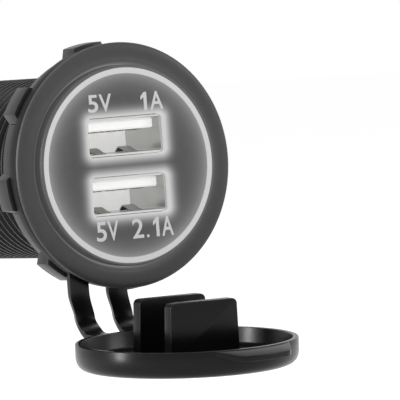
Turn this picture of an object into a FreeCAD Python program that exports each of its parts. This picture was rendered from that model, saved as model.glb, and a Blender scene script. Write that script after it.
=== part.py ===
"""Panel-mounted twin USB power socket with a tethered rubber dust cap.

Millimetres, +Z up. The socket's axis is Y, and its face looks along -Y. The origin is on that
axis, in the plane where the rubber ring behind the flange meets the panel. The cap is modelled
open, level in front of the socket, as it hangs when a lead is plugged in.
"""
import FreeCAD, Part
import math
import os

V = FreeCAD.Vector
X_AXIS = V(1, 0, 0)
Y_AXIS = V(0, 1, 0)
Z_AXIS = V(0, 0, 1)
ORIGIN = V(0, 0, 0)

# Flange and threaded barrel, one moulding
flange_reach = 4.65         # beyond the barrel's thread
flange_crown = 0.4          # how far the front face rises above the flange's edge
flange_round = 0.6          # width of the slope at the edge of the front face
flange_rim = 0.3            # straight side of the flange's edge
flange_undercut = 0.35      # chamfer behind the edge, the dark line before the rubber ring
bore_room = 2.4             # from the corners of the USB shells to the barrel's bore
barrel_wall = 1.65          # to the thread's crests
barrel_spare = 2.5          # between the main board and the rear cover
barrel_chamfer = 1.0

# Rubber retaining ring, on a hub behind the flange
ring_thickness = 1.85
ring_inset = 0.15           # inside the flange's edge
ring_land = 1.95            # width of the band round the hub
ring_edge = 0.25
ring_proud = 0.1            # the rubber stands this far behind the hub, to be squeezed

# Raised centre boss
boss_height = 1.1           # above the flange's front face
boss_overhang = 1.25        # beyond the barrel
boss_gap = 0.3              # groove round the boss
boss_seat = 0.95            # depth of the recess below the flange's front face
bevel_width = 0.5           # inner bevel of the flange's front face
bevel_depth = 0.3
frame_width = 0.45          # dark rim of the boss

# Light guide, a ring flush with the boss
guide_width = 0.82
guide_flange = 0.6
guide_leg_width = 4.0
guide_leg_thickness = 1.6
leg_clearance = 0.2         # to the barrel's bore

# Face plate
plate_clearance = 0.08
mouth_clearance = 0.1
mouth_corner = 0.7

# USB receptacles
port_pitch = 8.85
shell_width = 12.5          # inside
shell_height = 5.12         # inside
shell_wall = 0.3
shell_setback = 0.6         # behind the face
shell_length = 13.2
shell_corner = 0.6
latch_width = 1.9
latch_length = 4.2
latch_slot = 0.35
latch_spacing = 5.6
latch_setback = 2.2         # behind the shell's front edge
tongue_side_gap = 0.7       # between the tongue and the shell
tongue_thickness = 1.52
tongue_top_gap = 0.12
tongue_setback = 1.6        # behind the face
tongue_tip = 0.25
block_length = 3.0
block_clearance = 0.06
block_chamfer = 0.2
contact_width = 1.0
contact_thickness = 0.25
contact_proud = 0.05
contact_positions = (-3.5, -1.0, 1.0, 3.5)
contact_setback = 0.6       # behind the tongue's tip
contact_tail = 1.0          # behind the upright board
contact_clearance = 0.1
tail_clearance = 0.3        # round the tails, in the notch of the main board

# Boards and what they carry
board_thickness = 1.6
board_clearance = 0.1       # to the barrel's bore
led_size = (3.0, 0.8, 2.0)
main_board_gap = 2.2         # from its long edges to the barrel
header_lift = 0.105         # the main board's top lies this far over the lower contacts' tails
header_size = (10.4, 2.5, 2.5)
header_pin = 0.64
header_pitch = 2.54
header_pins = 4
header_pin_reach = 2.2
header_pin_tail = 0.8
pin_clearance = 0.05
choke_size = (7.2, 7.2, 4.4)
choke_corner = 1.4
choke_core = 2.6            # radius of the ferrite drum that shows in the middle
choke_core_rise = 0.2
can_radius = 3.15
can_height = 7.0
can_base = 6.6
can_base_height = 0.9
can_base_corner = 0.9
can_edge = 0.3
chip_size = (3.9, 4.9, 1.5)
chip_lead = (1.05, 0.4, 0.2)
chip_lead_pitch = 1.27
chip_leads = 4              # on each side
ceramic_size = (2.0, 1.25, 0.85)
ceramic_gap = 0.15
ceramic_spacing = 1.3
lane_centre = -0.2          # the lane up the board that the ceramic capacitors stand in
row_gap = 0.4               # between the rows of parts

# Rear cover and terminals
cover_inset = 0.95          # inside the barrel's outside
cover_flange = 1.6
cover_edge = 0.5
cover_spigot = 3.0
cover_clearance = 0.1
terminal_width = 6.3
terminal_thickness = 0.8
terminal_spacing = 10.0
terminal_reach = 10.5       # behind the rear cover
terminal_hole = 0.85        # radius
terminal_hole_inset = 3.4
terminal_tip = 1.0
terminal_foot = (2.2, 2.2)  # length and depth of the foot in the board
terminal_margin = 1.2       # from the foot to the board's rear edge
terminal_foot_clearance = 0.08
terminal_slot_clearance = 0.1
terminal_lift = 0.05        # above the main board

# Ring nut
nut_gap = 0.3               # behind the rubber ring
nut_height = 3.3
nut_clearance = 0.1         # round the thread's crests
nut_edge = 0.3
lug_proud = 0.3             # beyond the flange's edge
lug_height = 1.5
lug_count = 8
lug_first_angle = 99.5
lug_tip_half_angle = 7.3
lug_root_half_angle = 10.2

# Cap, drawn in its own frame and then hung in front of the socket
cap_clearance = 0.6         # round the boss, inside the rim
cap_wall = 0.87
cap_height = 4.0
cap_draft = 0.1
cap_floor = 1.3
cap_bottom_edge = 1.5
cap_rear_gap = 0.38         # from the panel plane forward to the rim, when open
cap_hang = 7.74             # from the ring's lowest point down to the rim's centre, when open
cap_droop = 4.2             # degrees, front edge low
plug_width = 12.0
plug_thickness = 2.0
plug_taper = 0.3            # off each end of the width at the tip
plug_height = 6.1           # above the rim
plug_corner = 0.6
plug_under_tongue = 0.3     # clearance to the tongue when closed
cap_closed_sag = 0.25       # the closed cap sits this far below the socket's axis
tab_angle = 8.5             # degrees from straight ahead, seen from above
tab_root_half_angle = 26.0
tab_tip_half_angle = 13.0
tab_reach = 2.23            # beyond the rim
tab_drop = 0.8
tab_thickness = 0.85

# Straps
strap_width = 3.3
strap_thickness = 0.85
strap_pitch = 6.4
strap_setback = 0.5         # centre line in front of the panel plane, at the ring
strap_straight = 0.05       # below the ring's lowest point, before the strap bends
strap_swing = 60.0          # degrees that it bends back before it turns forward
strap_ring_offset = -5.2    # middle of the pair at the ring
strap_cap_offset = -0.9     # middle of the pair at the cap
strap_clearance = 0.1       # between the strap's end and the cap

# Derived radii
tongue_width = shell_width - 2 * tongue_side_gap
shell_corner_reach = math.hypot(shell_width / 2 + shell_wall,
                                (port_pitch + shell_height) / 2 + shell_wall)
barrel_bore = shell_corner_reach + bore_room
barrel_radius = barrel_bore + barrel_wall
flange_radius = barrel_radius + flange_reach
boss_radius = barrel_radius + boss_overhang
ring_radius = flange_radius - ring_inset
hub_radius = ring_radius - ring_land
guide_outer = boss_radius - frame_width
guide_inner = guide_outer - guide_width
guide_flange_inner = barrel_bore - leg_clearance - guide_leg_thickness
plate_radius = guide_inner - plate_clearance
recess_radius = boss_radius + boss_gap
board_radius = barrel_bore - board_clearance
cover_radius = barrel_radius - cover_inset
nut_bore = barrel_radius + nut_clearance
lug_radius = flange_radius + lug_proud
nut_radius = lug_radius - lug_height
cap_inner_radius = boss_radius + cap_clearance
cap_radius = cap_inner_radius + cap_wall
tab_radius = cap_radius + tab_reach

# Derived places along the axis
flange_back = -ring_thickness
flange_edge_back = flange_back - flange_undercut
flange_edge_front = flange_edge_back - flange_rim
flange_front = flange_edge_front - flange_crown
boss_front = flange_front - boss_height
recess_floor = flange_front + boss_seat
plate_back = recess_floor - guide_flange
shell_front = boss_front + shell_setback
shell_back = shell_front + shell_length
tongue_front = boss_front + tongue_setback
usb_board_front = shell_back
usb_board_back = usb_board_front + board_thickness
main_board_front = usb_board_back
lower_tongue_bottom = -port_pitch / 2 + shell_height / 2 - tongue_top_gap - tongue_thickness
main_board_top = lower_tongue_bottom + contact_thickness - contact_proud + header_lift
main_board_bottom = main_board_top - board_thickness

# Rows of parts, behind the main board's front edge
first_row = header_size[1] + header_pin_reach + row_gap
first_row_length = max(can_base, choke_size[1])
second_row = first_row + first_row_length + row_gap
second_row_length = max(can_base, chip_size[1])
terminal_row = second_row + second_row_length + row_gap
lane_half = ceramic_size[0] / 2 + ceramic_gap
first_middle = first_row + first_row_length / 2
second_middle = second_row + second_row_length / 2
can_across = lane_centre - lane_half - can_base / 2
can_places = ((can_across, first_middle), (can_across, second_middle))
choke_place = (lane_centre + lane_half + choke_size[0] / 2, first_middle)
chip_place = (lane_centre + lane_half + chip_size[0] / 2 + chip_lead[0], second_middle)
ceramic_step = ceramic_size[1] + ceramic_spacing
ceramic_places = ((lane_centre, second_middle - ceramic_step / 2),
                  (lane_centre, second_middle + ceramic_step / 2),
                  (lane_centre, terminal_row + terminal_foot[0] / 2),
                  (header_size[0] / 2 + ceramic_size[0], header_size[1] / 2))

# The main board ends behind the terminals' feet, and the barrel ends behind the board
main_board_width = 2 * (math.sqrt(barrel_bore ** 2 - main_board_bottom ** 2) - main_board_gap)
main_board_back = main_board_front + terminal_row + terminal_foot[0] + terminal_margin
barrel_length = main_board_back + barrel_spare + cover_spigot
terminal_start = main_board_front + terminal_row
cover_front = barrel_length
cover_back = cover_front + cover_flange
port_heights = {"upper": port_pitch / 2, "lower": -port_pitch / 2}

# Middle of the open cap's rim, as y and z
cap_centre = (-cap_rear_gap - cap_radius, -ring_radius - cap_hang)


def cylinder(radius, front, back):
    return Part.makeCylinder(radius, back - front, V(0, front, 0), Y_AXIS)


def tube(outer, inner, front, back):
    return cylinder(outer, front, back).cut(cylinder(inner, front - 1, back + 1))


def turned(profile, start=ORIGIN, axis=Y_AXIS):
    """A solid turned about the Y axis from (radius, y) points."""
    points = [V(radius, along, 0) for radius, along in profile]
    face = Part.Face(Part.makePolygon(points + points[:1]))
    return face.revolve(start, axis, 360)


def block(x0, x1, y0, y1, z0, z1):
    return Part.makeBox(x1 - x0, y1 - y0, z1 - z0, V(x0, y0, z0))


def rounded_bar(width, height, corner, front, back, centre_z=0.0):
    """A bar along Y with a rounded rectangular section."""
    bar = block(-width / 2, width / 2, front, back, centre_z - height / 2, centre_z + height / 2)
    long_edges = [e for e in bar.Edges if abs(e.tangentAt(e.FirstParameter).y) > 0.99]
    return bar.makeFillet(corner, long_edges)


def one_solid(shape):
    """The shape as a plain solid, or as a compound where it has several."""
    shape = shape.removeSplitter()
    return shape.Solids[0] if len(shape.Solids) == 1 else Part.makeCompound(shape.Solids)


def make_housing():
    profile = [
        (barrel_bore, recess_floor),
        (recess_radius, recess_floor),
        (recess_radius, flange_front + bevel_depth),
        (recess_radius + bevel_width, flange_front),
        (flange_radius - flange_round, flange_front),
        (flange_radius, flange_edge_front),
        (flange_radius, flange_edge_back),
        (flange_radius - flange_undercut, flange_back),
        (hub_radius, flange_back),
        (hub_radius, -ring_proud),
        (barrel_radius, -ring_proud),
        (barrel_radius, barrel_length - barrel_chamfer),
        (barrel_radius - barrel_chamfer, barrel_length),
        (barrel_bore, barrel_length),
    ]
    return turned(profile)


def make_cap_ring():
    profile = [
        (hub_radius, flange_back),
        (ring_radius - ring_edge, flange_back),
        (ring_radius, flange_back + ring_edge),
        (ring_radius, 0),
        (hub_radius, 0),
    ]
    return turned(profile)


def make_face_frame():
    """Dark outer rim of the boss."""
    return tube(boss_radius, guide_outer, boss_front, recess_floor)


def make_light_guide():
    """Clear ring, with a flange behind the face plate and two legs back to the lamps."""
    profile = [
        (guide_inner, boss_front),
        (guide_outer, boss_front),
        (guide_outer, recess_floor),
        (guide_flange_inner, recess_floor),
        (guide_flange_inner, plate_back),
        (guide_inner, plate_back),
    ]
    leg_outer = barrel_bore - leg_clearance
    leg_back = usb_board_front - led_size[1]
    leg = block(leg_outer - guide_leg_thickness, leg_outer, recess_floor - guide_flange / 2,
                leg_back, -guide_leg_width / 2, guide_leg_width / 2)
    leg = leg.common(cylinder(leg_outer, plate_back, leg_back + 1))
    return one_solid(turned(profile).fuse([leg, leg.mirror(ORIGIN, X_AXIS)]))


def make_face_plate():
    plate = cylinder(plate_radius, boss_front, plate_back)
    mouth_width = shell_width + 2 * (shell_wall + mouth_clearance)
    mouth_height = shell_height + 2 * (shell_wall + mouth_clearance)
    for height in port_heights.values():
        mouth = rounded_bar(mouth_width, mouth_height, mouth_corner, boss_front - 1,
                            plate_back + 1, height)
        plate = plate.cut(mouth)
    return one_solid(plate)


def make_shell(height):
    """Folded sheet shell with two sprung latches above and below."""
    outside = rounded_bar(shell_width + 2 * shell_wall, shell_height + 2 * shell_wall, shell_corner,
                          shell_front, shell_back, height)
    inside = rounded_bar(shell_width, shell_height, shell_corner - shell_wall, shell_front - 1,
                         shell_back + 1, height)
    shell = outside.cut(inside)
    latch_front = shell_front + latch_setback
    latch_back = latch_front + latch_length
    for side in (-1, 1):
        z_wall = height + side * (shell_height + shell_wall) / 2
        for across in (-latch_spacing / 2, latch_spacing / 2):
            left = across - latch_width / 2
            right = across + latch_width / 2
            z0 = z_wall - shell_wall
            z1 = z_wall + shell_wall
            shell = shell.cut(block(left - latch_slot, left, latch_front, latch_back, z0, z1))
            shell = shell.cut(block(right, right + latch_slot, latch_front, latch_back, z0, z1))
            shell = shell.cut(block(left - latch_slot, right + latch_slot, latch_back - latch_slot,
                                    latch_back, z0, z1))
    return one_solid(shell)


def tongue_levels(height):
    top = height + shell_height / 2 - tongue_top_gap
    return top - tongue_thickness, top


def make_tongue(height):
    """White plastic tongue with grooves for the contacts, and the block behind it."""
    bottom, top = tongue_levels(height)
    tongue = block(-tongue_width / 2, tongue_width / 2, tongue_front, shell_back - block_length,
                   bottom, top)
    tip_edges = [e for e in tongue.Edges
                 if abs(e.CenterOfMass.y - tongue_front) < 0.01 and abs(e.tangentAt(0).x) > 0.99]
    tongue = tongue.makeChamfer(tongue_tip, tip_edges)
    half_width = shell_width / 2 - block_clearance
    half_height = shell_height / 2 - block_clearance
    rear = block(-half_width, half_width, shell_back - block_length, shell_back,
                 height - half_height, height + half_height)
    rear = rear.makeChamfer(block_chamfer,
                            [e for e in rear.Edges if abs(e.tangentAt(0).y) > 0.99])
    body = tongue.fuse(rear)
    for place in contact_positions:
        body = body.cut(contact_groove(place, height))
    return one_solid(body)


def contact_groove(place, height):
    bottom, _ = tongue_levels(height)
    return block(place - contact_width / 2, place + contact_width / 2,
                 tongue_front + contact_setback, shell_back + 1,
                 bottom - 0.001, bottom + contact_thickness - contact_proud)


def make_contacts(height):
    """Four flat contacts, flush in their grooves, with tails through the upright board."""
    bottom, _ = tongue_levels(height)
    contacts = []
    for place in contact_positions:
        blade = block(place - contact_width / 2, place + contact_width / 2,
                      tongue_front + contact_setback, shell_back - block_length,
                      bottom - contact_proud, bottom + contact_thickness - contact_proud)
        tail = block(place - contact_width / 2, place + contact_width / 2,
                     shell_back - block_length, usb_board_back + contact_tail,
                     bottom, bottom + contact_thickness - contact_proud)
        contacts.append(one_solid(blade.fuse(tail)))
    return Part.makeCompound(contacts)


def make_usb_board():
    board = cylinder(board_radius, usb_board_front, usb_board_back)
    for height in port_heights.values():
        bottom, _ = tongue_levels(height)
        for place in contact_positions:
            half = contact_width / 2 + contact_clearance
            board = board.cut(block(place - half, place + half, usb_board_front - 1,
                                    usb_board_back + 1, bottom - contact_clearance,
                                    bottom + contact_thickness + contact_clearance))
    return one_solid(board)


def make_status_leds():
    width, depth, tall = led_size
    centre = barrel_bore - leg_clearance - guide_leg_thickness / 2
    reach = math.sqrt(board_radius ** 2 - (tall / 2) ** 2) - board_clearance
    lamp = block(centre - width / 2, min(centre + width / 2, reach), usb_board_front - depth,
                 usb_board_front, -tall / 2, tall / 2)
    return Part.makeCompound([lamp, lamp.mirror(ORIGIN, X_AXIS)])


def make_main_board():
    board = block(-main_board_width / 2, main_board_width / 2, main_board_front, main_board_back,
                  main_board_bottom, main_board_top)
    notch = max(contact_positions) + contact_width / 2 + tail_clearance
    board = board.cut(block(-notch, notch, main_board_front - 1,
                            main_board_front + contact_tail + tail_clearance,
                            main_board_bottom - 1, main_board_top + 1))
    for side in (-1, 1):
        board = board.cut(terminal_foot_slot(side))
    for place in header_pin_places():
        half = header_pin / 2 + pin_clearance
        y = main_board_front + header_size[1] + header_pin_reach - header_pin / 2
        board = board.cut(block(place - half, place + half, y - half, y + half,
                                main_board_bottom - 1, main_board_top + 1))
    return one_solid(board)


def header_pin_places():
    return [(i - (header_pins - 1) / 2) * header_pitch for i in range(header_pins)]


def make_board_header():
    """Pin strip that ties the upright board to the main board."""
    width, deep, tall = header_size
    back = main_board_front + deep
    strip = block(-width / 2, width / 2, main_board_front, back, main_board_top,
                  main_board_top + tall)
    level = main_board_top + tall / 2
    for place in header_pin_places():
        half = header_pin / 2
        arm = block(place - half, place + half, back - 0.01, back + header_pin_reach,
                    level - half, level + half)
        leg = block(place - half, place + half, back + header_pin_reach - header_pin,
                    back + header_pin_reach, main_board_bottom - header_pin_tail, level)
        strip = strip.fuse([arm, leg])
    return one_solid(strip)


def on_board(place):
    """A point on the main board, from a place across it and behind its front edge."""
    return V(place[0], main_board_front + place[1], main_board_top)


def make_choke():
    """Shielded power inductor: a square ferrite block with a drum in its middle."""
    foot = on_board(choke_place)
    wide, long, tall = choke_size
    shield = block(foot.x - wide / 2, foot.x + wide / 2, foot.y - long / 2, foot.y + long / 2,
                   foot.z, foot.z + tall)
    corners = [e for e in shield.Edges if abs(e.tangentAt(0).z) > 0.99]
    shield = shield.makeChamfer(choke_corner, corners)
    drum = Part.makeCylinder(choke_core, choke_core_rise + 0.5, foot + Z_AXIS * (tall - 0.5))
    return one_solid(shield.fuse(drum))


def make_can(place):
    """Surface-mount electrolytic capacitor: square base and round can."""
    foot = on_board(place)
    half = can_base / 2
    base = block(foot.x - half, foot.x + half, foot.y - half, foot.y + half, foot.z,
                 foot.z + can_base_height)
    corners = [e for e in base.Edges
               if abs(e.tangentAt(0).z) > 0.99 and e.CenterOfMass.y < foot.y]
    base = base.makeChamfer(can_base_corner, corners)
    can = Part.makeCylinder(can_radius, can_height - can_base_height,
                            foot + Z_AXIS * can_base_height)
    rim = [e for e in can.Edges
           if abs(e.CenterOfMass.z - foot.z - can_height) < 0.01 and len(e.Vertexes) == 1]
    return one_solid(base.fuse(can.makeChamfer(can_edge, rim)))


def make_chip():
    """Eight-lead power chip."""
    foot = on_board(chip_place)
    wide, long, tall = chip_size
    reach, lead_wide, lead_thick = chip_lead
    body = block(foot.x - wide / 2, foot.x + wide / 2, foot.y - long / 2, foot.y + long / 2,
                 foot.z + 0.1, foot.z + tall)
    leads = []
    for side in (-1, 1):
        for index in range(chip_leads):
            y = foot.y + (index - (chip_leads - 1) / 2) * chip_lead_pitch
            inner = foot.x + side * (wide / 2 - 0.1)
            bend = foot.x + side * (wide / 2 + reach * 0.45)
            tip = foot.x + side * (wide / 2 + reach)
            flat = block(min(inner, bend), max(inner, bend), y - lead_wide / 2, y + lead_wide / 2,
                         foot.z + tall / 2 - lead_thick, foot.z + tall / 2)
            down = block(min(bend, bend - side * lead_thick), max(bend, bend - side * lead_thick),
                         y - lead_wide / 2, y + lead_wide / 2, foot.z, foot.z + tall / 2)
            toe = block(min(bend - side * lead_thick, tip), max(bend - side * lead_thick, tip),
                        y - lead_wide / 2, y + lead_wide / 2, foot.z, foot.z + lead_thick)
            leads += [flat, down, toe]
    return one_solid(body.fuse(leads))


def make_ceramics():
    wide, long, tall = ceramic_size
    chips = []
    for place in ceramic_places:
        foot = on_board(place)
        chips.append(block(foot.x - wide / 2, foot.x + wide / 2, foot.y - long / 2,
                           foot.y + long / 2, foot.z, foot.z + tall))
    return Part.makeCompound(chips)


def terminal_centre(side):
    return side * terminal_spacing / 2


def terminal_level():
    """Height of a blade's lower edge, just over the main board."""
    return main_board_top + terminal_lift


def terminal_foot_slot(side):
    length, depth = terminal_foot
    start = terminal_start
    x = terminal_centre(side)
    clear = terminal_foot_clearance
    half = terminal_thickness / 2 + clear
    return block(x - half, x + half, start - clear, start + length + clear,
                 main_board_bottom - 1, main_board_top + 1)


def make_terminal(side):
    """6.3 mm blade with a pointed tip, a wire hole and a foot soldered in the main board."""
    start = terminal_start
    end = cover_back + terminal_reach
    bottom = terminal_level()
    top = bottom + terminal_width
    length, depth = terminal_foot
    outline = [(start, bottom), (end - terminal_tip, bottom), (end, bottom + terminal_tip),
               (end, top - terminal_tip), (end - terminal_tip, top), (start, top)]
    x = terminal_centre(side) - terminal_thickness / 2
    points = [V(x, y, z) for y, z in outline]
    blade = Part.Face(Part.makePolygon(points + points[:1])).extrude(X_AXIS * terminal_thickness)
    foot = block(x, x + terminal_thickness, start, start + length, bottom - depth, bottom + 0.01)
    hole = Part.makeCylinder(terminal_hole, terminal_thickness + 2,
                             V(x - 1, end - terminal_hole_inset, bottom + terminal_width / 2),
                             X_AXIS)
    return one_solid(blade.fuse(foot).cut(hole))


def make_rear_cover():
    """Plug in the barrel's end, slotted for the two blades."""
    spigot_radius = barrel_bore - cover_clearance
    profile = [
        (0, cover_front - cover_spigot),
        (spigot_radius, cover_front - cover_spigot),
        (spigot_radius, cover_front),
        (cover_radius, cover_front),
        (cover_radius, cover_back - cover_edge),
        (cover_radius - cover_edge, cover_back),
        (0, cover_back),
    ]
    cover = turned(profile)
    bottom = terminal_level()
    clear = terminal_slot_clearance
    for side in (-1, 1):
        x = terminal_centre(side)
        half = terminal_thickness / 2 + clear
        slot = block(x - half, x + half, cover_front - cover_spigot - 1, cover_back + 1,
                     bottom - clear, bottom + terminal_width + clear)
        cover = cover.cut(slot)
    return one_solid(cover)


def make_ring_nut():
    """Ring nut, with lugs round it to turn it by."""
    front = nut_gap
    back = nut_gap + nut_height
    profile = [
        (nut_bore, front),
        (nut_radius, front),
        (nut_radius, back - nut_edge),
        (nut_radius - nut_edge, back),
        (nut_bore, back),
    ]
    nut = turned(profile)
    lugs = []
    for index in range(lug_count):
        middle = lug_first_angle + index * 360.0 / lug_count
        flank = [(nut_radius - 1.0, lug_root_half_angle), (nut_radius, lug_root_half_angle),
                 (lug_radius, lug_tip_half_angle), (lug_radius + 1.0, lug_tip_half_angle)]
        corners = flank + [(radius, -offset) for radius, offset in reversed(flank)]
        points = []
        for radius, offset in corners:
            angle = math.radians(middle + offset)
            points.append(V(radius * math.cos(angle), front, radius * math.sin(angle)))
        wedge = Part.Face(Part.makePolygon(points + points[:1])).extrude(Y_AXIS * nut_height)
        lugs.append(wedge.common(cylinder(lug_radius, front, back)))
    return one_solid(nut.fuse(lugs))


def plug_offsets():
    """How far each plug stands from the cap's middle, upper port first."""
    offsets = []
    for name in ("upper", "lower"):
        bottom, _ = tongue_levels(port_heights[name])
        centre = bottom - plug_under_tongue - plug_thickness / 2
        offsets.append(centre + cap_closed_sag)
    return offsets


def make_plug(forward):
    """One port plug, tapered across its width, in the cap's frame."""
    root = -cap_height + cap_floor - 0.2
    tip = plug_height
    half = plug_width / 2
    outline = [(-half, root), (half, root), (half, 0), (half - plug_taper, tip),
               (-half + plug_taper, tip), (-half, 0)]
    points = [V(x, -forward - plug_thickness / 2, z) for x, z in outline]
    plug = Part.Face(Part.makePolygon(points + points[:1])).extrude(Y_AXIS * plug_thickness)
    side_edges = [e for e in plug.Edges
                  if abs(e.tangentAt(0).y) > 0.99 and e.CenterOfMass.z > tip - 0.1]
    return plug.makeFillet(plug_corner, side_edges)


def make_tab():
    """Thumb tab on the rim, thin and sloping down, in the cap's frame."""
    inner = cap_inner_radius + cap_wall / 3
    section = [V(0, -inner, 0), V(0, -tab_radius, -tab_drop),
               V(0, -tab_radius, -tab_drop - tab_thickness), V(0, -inner, -tab_thickness)]
    skirt = Part.Face(Part.makePolygon(section + section[:1])).revolve(ORIGIN, Z_AXIS, 360)
    plan = []
    for radius, offset in ((inner - 1.0, -tab_root_half_angle), (cap_radius, -tab_root_half_angle),
                           (tab_radius + 0.5, -tab_tip_half_angle),
                           (tab_radius + 0.5, tab_tip_half_angle),
                           (cap_radius, tab_root_half_angle), (inner - 1.0, tab_root_half_angle)):
        angle = math.radians(tab_angle + offset)
        plan.append(V(radius * math.sin(angle), -radius * math.cos(angle), -cap_height))
    prism = Part.Face(Part.makePolygon(plan + plan[:1])).extrude(Z_AXIS * (cap_height + 1))
    return skirt.common(prism)


def hang(shape):
    """Moves a shape from the cap's frame to its open place in front of the socket."""
    placed = shape.copy()
    placed.rotate(ORIGIN, X_AXIS, cap_droop)
    placed.translate(V(0, cap_centre[0], cap_centre[1]))
    return placed


def make_cap():
    profile = [
        (0, -cap_height),
        (cap_radius - cap_bottom_edge, -cap_height),
        (cap_radius - cap_bottom_edge * 0.2, -cap_height + cap_bottom_edge * 0.45),
        (cap_radius, -cap_height + cap_bottom_edge * 1.3),
        (cap_radius, 0),
        (cap_inner_radius, 0),
        (cap_inner_radius - cap_draft, -cap_height + cap_floor),
        (0, -cap_height + cap_floor),
    ]
    points = [V(radius, 0, level) for radius, level in profile]
    dish = Part.Face(Part.makePolygon(points + points[:1])).revolve(ORIGIN, Z_AXIS, 360)
    cap = dish.fuse([make_plug(forward) for forward in plug_offsets()] + [make_tab()])
    return one_solid(hang(cap))


def strap_start():
    """How far below the axis the strap starts to bend."""
    return ring_radius + strap_straight


def strap_end():
    """Middle of the strap where it meets the cap's rim, as y and z."""
    droop = math.radians(cap_droop)
    reach = cap_radius + strap_clearance
    level = -strap_thickness / 2
    y = cap_centre[0] + reach * math.cos(droop) - level * math.sin(droop)
    z = cap_centre[1] + reach * math.sin(droop) + level * math.cos(droop)
    return y, z


def strap_side(offset, bend_back, bend_forward, corner, swing, finish):
    """One long edge of the strap's side view, offset from the middle line."""
    top = V(0, -strap_setback + offset, -hub_radius)
    start = V(0, -strap_setback + offset, -strap_start())
    back_centre = V(0, -strap_setback + bend_back, -strap_start())

    def on_back(angle):
        radius = bend_back - offset
        return back_centre + V(0, -radius * math.cos(angle), -radius * math.sin(angle))

    forward_centre = V(0, corner[0] - bend_forward * math.cos(swing),
                       corner[1] - bend_forward * math.sin(swing))

    def on_forward(angle):
        radius = bend_forward + offset
        return forward_centre + V(0, radius * math.cos(angle), radius * math.sin(angle))

    return [Part.LineSegment(top, start).toShape(),
            Part.Arc(start, on_back(swing / 2), on_back(swing)).toShape(),
            Part.Arc(on_back(swing), on_forward((swing + finish) / 2), on_forward(finish)).toShape()]


def make_strap(side):
    """A flat rubber strap: down from the ring, back in a bow, then forward to the cap's rim."""
    swing = math.radians(strap_swing)
    finish = -math.radians(90.0 - cap_droop)
    end_y, end_z = strap_end()
    run = end_y + strap_setback
    fall = end_z + strap_start()
    # two radii from: run = a(1 - cos s) + b(cos f - cos s), fall = -a sin s - b(sin s - sin f)
    a1, b1 = 1 - math.cos(swing), math.cos(finish) - math.cos(swing)
    a2, b2 = -math.sin(swing), -(math.sin(swing) - math.sin(finish))
    scale = a1 * b2 - a2 * b1
    bend_back = (run * b2 - fall * b1) / scale
    bend_forward = (a1 * fall - a2 * run) / scale
    corner = (-strap_setback + bend_back * (1 - math.cos(swing)),
              -strap_start() - bend_back * math.sin(swing))
    half = strap_thickness / 2
    front = strap_side(-half, bend_back, bend_forward, corner, swing, finish)
    back = strap_side(half, bend_back, bend_forward, corner, swing, finish)
    ends = [Part.makeLine(front[0].Vertexes[0].Point, back[0].Vertexes[0].Point),
            Part.makeLine(front[-1].Vertexes[-1].Point, back[-1].Vertexes[-1].Point)]
    wire = Part.Wire(Part.__sortEdges__(front + back + ends))
    strap = Part.Face(wire).extrude(X_AXIS * strap_width)
    strap.translate(V(side * strap_pitch / 2 - strap_width / 2, 0, 0))
    lean = (strap_cap_offset - strap_ring_offset) / (end_z + ring_radius)
    shear = FreeCAD.Matrix()
    shear.A13 = lean
    shear.A14 = strap_cap_offset - lean * end_z
    strap = strap.transformGeometry(shear)
    return one_solid(strap.cut(cylinder(ring_radius, flange_back - 1, 1)))


def build():
    shapes = {
        "housing": make_housing(),
        "cap_ring": make_cap_ring(),
        "face_frame": make_face_frame(),
        "light_guide": make_light_guide(),
        "face_plate": make_face_plate(),
        "usb_board": make_usb_board(),
        "status_leds": make_status_leds(),
        "main_board": make_main_board(),
        "board_header": make_board_header(),
        "power_choke": make_choke(),
        "capacitor_input": make_can(can_places[0]),
        "capacitor_output": make_can(can_places[1]),
        "regulator_chip": make_chip(),
        "chip_capacitors": make_ceramics(),
        "rear_cover": make_rear_cover(),
        "terminal_positive": make_terminal(-1),
        "terminal_negative": make_terminal(1),
        "ring_nut": make_ring_nut(),
        "cap": make_cap(),
        "cap_strap_left": make_strap(-1),
        "cap_strap_right": make_strap(1),
    }
    for name, height in port_heights.items():
        shapes["usb_shell_" + name] = make_shell(height)
        shapes["usb_tongue_" + name] = make_tongue(height)
        shapes["usb_contacts_" + name] = make_contacts(height)
    return shapes


os.makedirs("parts", exist_ok=True)
for node, shape in build().items():
    shape.exportStep("parts/" + node + ".step")
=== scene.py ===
import bpy
import math
from mathutils import Matrix, Vector


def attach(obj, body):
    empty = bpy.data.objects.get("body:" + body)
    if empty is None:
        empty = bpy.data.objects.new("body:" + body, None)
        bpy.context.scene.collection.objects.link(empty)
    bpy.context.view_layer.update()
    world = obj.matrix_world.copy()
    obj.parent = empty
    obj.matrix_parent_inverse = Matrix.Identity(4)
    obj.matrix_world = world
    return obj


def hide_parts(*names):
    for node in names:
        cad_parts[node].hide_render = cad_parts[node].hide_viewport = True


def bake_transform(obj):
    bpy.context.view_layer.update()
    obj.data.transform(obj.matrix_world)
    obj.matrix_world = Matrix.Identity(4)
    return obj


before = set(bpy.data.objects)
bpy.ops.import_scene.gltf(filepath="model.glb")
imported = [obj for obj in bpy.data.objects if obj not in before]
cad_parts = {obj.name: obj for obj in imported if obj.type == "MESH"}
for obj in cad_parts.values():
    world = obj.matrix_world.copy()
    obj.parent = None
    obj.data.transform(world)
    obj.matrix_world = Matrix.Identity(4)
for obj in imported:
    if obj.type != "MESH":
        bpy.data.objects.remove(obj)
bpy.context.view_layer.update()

mm = 0.001

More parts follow.
